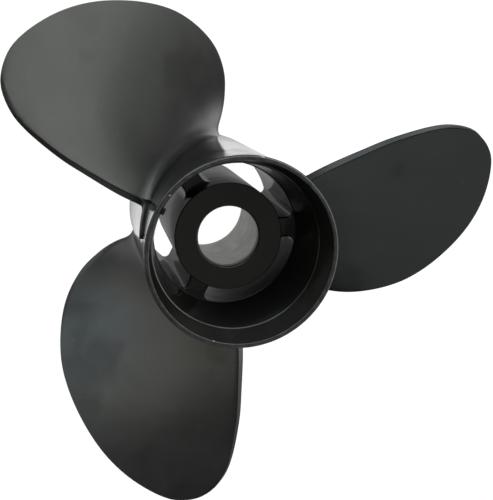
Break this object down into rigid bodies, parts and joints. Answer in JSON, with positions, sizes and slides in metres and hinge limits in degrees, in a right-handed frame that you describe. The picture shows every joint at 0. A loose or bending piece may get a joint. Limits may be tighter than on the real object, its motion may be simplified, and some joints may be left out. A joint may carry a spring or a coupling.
{
  "type": "boat propeller",
  "caption": "Right-hand boat propeller with broad raked blades on a hollow exhaust hub and a flared aft rim, cast in aluminium and painted satin black.",
  "frame": {"origin": "on the shaft axis, in the plane of the barrel's front rim", "axes": "+Z along the shaft axis toward the flared aft rim; X and Y span the blade disc, with blade_1 at about 133 degrees from +X"},
  "size_m": [0.309, 0.3131, 0.15],
  "materials": {
    "hub_paint": "satin black paint on cast aluminium",
    "blade_paint": "satin black paint on cast aluminium"
  },
  "bodies": {
    "root": {"hub_barrel": "hub_paint", "aft_flare_ring": "hub_paint", "inner_hub": "hub_paint", "passage_rib_1": "hub_paint", "passage_rib_2": "hub_paint", "passage_rib_3": "hub_paint", "blade_1": "blade_paint", "blade_2": "blade_paint", "blade_3": "blade_paint", "root_fin_1": "blade_paint", "root_fin_2": "blade_paint", "root_fin_3": "blade_paint"}
  },
  "joints": []
}
